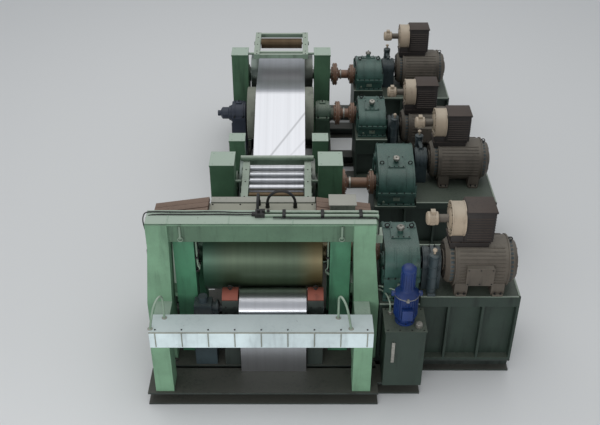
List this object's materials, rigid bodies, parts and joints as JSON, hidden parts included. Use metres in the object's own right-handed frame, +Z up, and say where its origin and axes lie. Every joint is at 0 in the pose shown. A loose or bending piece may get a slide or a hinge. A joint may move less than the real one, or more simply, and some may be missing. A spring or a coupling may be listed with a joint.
{
  "type": "rolling mill stand with bridle rolls and drives",
  "caption": "Portal roll stand of a strip line with bridle rolls, the strip that wraps them, reducers and motors on a shared bed.",
  "frame": {"origin": "on the floor under the strip's centreline, below the middle of the bridle", "axes": "+X across the strip towards the drives, +Y along the line away from the work stand, +Z up"},
  "size_m": [5.955, 9.5972, 3.0159],
  "materials": {
    "dark_steel": "dark worn paint",
    "pale_green": "sage green paint, worn",
    "cap_green": "pale green paint, dusty",
    "deep_green": "deep teal green paint, oily",
    "rust_brown": "rust brown primer",
    "motor_brown": "brown paint",
    "band_tan": "tan paint, dusty",
    "bright_steel": "polished strip and rolls",
    "roll_bronze": "worn roll surface with a green cast",
    "drum_beige": "beige grey roll cover",
    "chock_red": "red primer",
    "pump_blue": "blue paint",
    "hose_black": "black hydraulic hose"
  },
  "bodies": {
    "root": {"bed_rails": "dark_steel", "bed_crossbeams": "dark_steel", "stand_soles": "dark_steel", "pedestals": "pale_green", "roll_bearings": "deep_green", "drum_bearings": "deep_green", "rear_guide_frame": "cap_green", "front_guide_frame": "cap_green", "guide_crossbars": "cap_green", "steel_strip": "bright_steel", "stand_posts": "pale_green", "housing_posts": "deep_green", "stand_top_beam": "cap_green", "stand_rear_ties": "pale_green", "balance_box": "cap_green", "sloping_covers": "rust_brown", "upper_roll_chocks": "dark_steel", "pass_roll_chocks": "chock_red", "chock_seats": "dark_steel", "front_table": "cap_green", "table_supports": "pale_green", "grab_rails": "cap_green", "lifting_hooks": "cap_green", "beam_conduits": "cap_green", "hose_manifold": "dark_steel", "beam_hoses": "hose_black", "cover_brackets": "rust_brown", "pass_roll_unit": "dark_steel", "reducer_1": "deep_green", "reducer_2": "deep_green", "reducer_3": "deep_green", "reducer_4": "deep_green", "motor_1": "motor_brown", "motor_2": "motor_brown", "motor_3": "motor_brown", "motor_4": "motor_brown", "motor_blowers": "band_tan", "brake_units": "dark_steel", "drive_bases": "deep_green", "pump_tank": "deep_green", "pump_motor": "pump_blue"},
    "entry_roll_body": {"entry_roll": "bright_steel", "entry_spindle": "rust_brown"},
    "big_drum_body": {"big_drum": "drum_beige", "drum_spindle": "rust_brown"},
    "front_roll_body": {"front_roll": "bright_steel", "front_spindle": "rust_brown"},
    "upper_roll_body": {"upper_roll": "roll_bronze", "upper_spindle": "rust_brown"},
    "pass_line_roll_body": {"pass_line_roll": "bright_steel"},
    "rear_guide_roller_body": {"rear_guide_roller": "motor_brown"},
    "front_guide_roller_1_body": {"front_guide_roller_1": "bright_steel"},
    "front_guide_roller_2_body": {"front_guide_roller_2": "bright_steel"},
    "front_guide_roller_3_body": {"front_guide_roller_3": "bright_steel"},
    "front_guide_roller_4_body": {"front_guide_roller_4": "bright_steel"},
    "front_guide_roller_5_body": {"front_guide_roller_5": "bright_steel"}
  },
  "joints": [
    {"name": "entry_roll_turn", "type": "hinge", "parent": "root", "child": "entry_roll_body", "pos_m": [0, 3.7, 1.45], "axis": [1, 0, 0], "continuous": true},
    {"name": "big_drum_turn", "type": "hinge", "parent": "root", "child": "big_drum_body", "pos_m": [0, 1.9, 1.4], "axis": [1, 0, 0], "continuous": true},
    {"name": "front_roll_turn", "type": "hinge", "parent": "root", "child": "front_roll_body", "pos_m": [0, -0.85, 1.4], "axis": [1, 0, 0], "continuous": true},
    {"name": "upper_roll_turn", "type": "hinge", "parent": "root", "child": "upper_roll_body", "pos_m": [-0.155, -3.5, 1.8], "axis": [1, 0, 0], "continuous": true},
    {"name": "pass_line_roll_turn", "type": "hinge", "parent": "root", "child": "pass_line_roll_body", "pos_m": [0, -4.29716, 1.30188], "axis": [1, 0, 0], "continuous": true},
    {"name": "rear_guide_roller_turn", "type": "hinge", "parent": "root", "child": "rear_guide_roller_body", "pos_m": [0, 3.49, 2.295], "axis": [1, 0, 0], "continuous": true},
    {"name": "front_guide_roller_1_turn", "type": "hinge", "parent": "root", "child": "front_guide_roller_1_body", "pos_m": [0, -1.2154, 1.9302], "axis": [1, 0, 0], "continuous": true},
    {"name": "front_guide_roller_2_turn", "type": "hinge", "parent": "root", "child": "front_guide_roller_2_body", "pos_m": [0, -1.39141, 1.90232], "axis": [1, 0, 0], "continuous": true},
    {"name": "front_guide_roller_3_turn", "type": "hinge", "parent": "root", "child": "front_guide_roller_3_body", "pos_m": [0, -1.54608, 1.87782], "axis": [1, 0, 0], "continuous": true},
    {"name": "front_guide_roller_4_turn", "type": "hinge", "parent": "root", "child": "front_guide_roller_4_body", "pos_m": [0, -1.73809, 1.84741], "axis": [1, 0, 0], "continuous": true},
    {"name": "front_guide_roller_5_turn", "type": "hinge", "parent": "root", "child": "front_guide_roller_5_body", "pos_m": [0, -1.92476, 1.81785], "axis": [1, 0, 0], "continuous": true}
  ]
}
